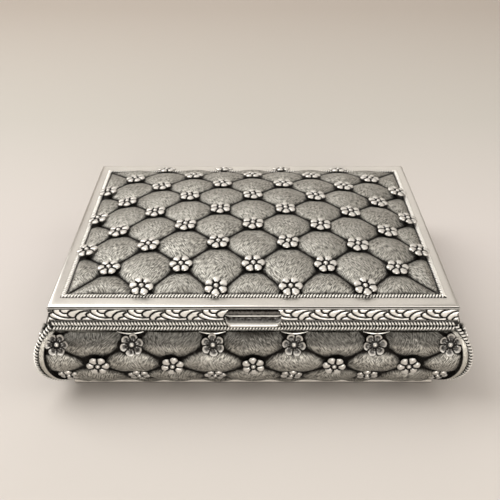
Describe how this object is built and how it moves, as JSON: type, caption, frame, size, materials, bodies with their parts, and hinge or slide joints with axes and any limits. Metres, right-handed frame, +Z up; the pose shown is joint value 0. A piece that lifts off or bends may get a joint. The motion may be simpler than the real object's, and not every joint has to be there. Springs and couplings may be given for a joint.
{
  "type": "dry fruit box",
  "caption": "Rectangular quilted metal box with bulging walls, flower rosettes, rope borders and a domed lid on two back hinges.",
  "frame": {"origin": "floor level under the middle of the box", "axes": "+Z up, +X to the right along the long side, -Y towards the thumb piece"},
  "size_m": [0.2118, 0.1768, 0.0643],
  "materials": {
    "hatched_silver": "oxidised silver, finely hatched",
    "rosette_silver": "cast silver with dark hollows",
    "rope_silver": "twisted silver wire with dark gaps",
    "engraved_silver": "bright silver with blackened engraving",
    "plain_silver": "satin silver",
    "hinge_metal": "silver plated, worn",
    "lining": "short velvet"
  },
  "bodies": {
    "box": {"base_plate": "plain_silver", "body_liner": "lining", "body_rim": "plain_silver", "body_rim_rope": "rope_silver", "front_quilt_panel": "hatched_silver", "back_quilt_panel": "hatched_silver", "left_quilt_panel": "hatched_silver", "right_quilt_panel": "hatched_silver", "front_rosettes": "rosette_silver", "back_rosettes": "rosette_silver", "left_rosettes": "rosette_silver", "right_rosettes": "rosette_silver", "front_left_corner_rope": "rope_silver", "front_right_corner_rope": "rope_silver", "back_left_corner_rope": "rope_silver", "back_right_corner_rope": "rope_silver", "left_hinge_body_leaf": "hinge_metal", "right_hinge_body_leaf": "hinge_metal", "left_hinge_pin": "hinge_metal", "right_hinge_pin": "hinge_metal"},
    "lid": {"lid_frame": "plain_silver", "lid_quilt_panel": "hatched_silver", "lid_rosettes": "rosette_silver", "lid_panel_rope": "rope_silver", "lid_leaf_band": "engraved_silver", "lid_edge_rope": "rope_silver", "lid_lining": "lining", "thumb_piece": "plain_silver", "left_hinge_lid_leaf": "hinge_metal", "right_hinge_lid_leaf": "hinge_metal"}
  },
  "joints": [
    {"name": "lid_hinge", "type": "hinge", "parent": "box", "child": "lid", "pos_m": [0, 0.0813, 0.0408], "axis": [-1, 0, 0], "range_deg": [0, 100]}
  ]
}
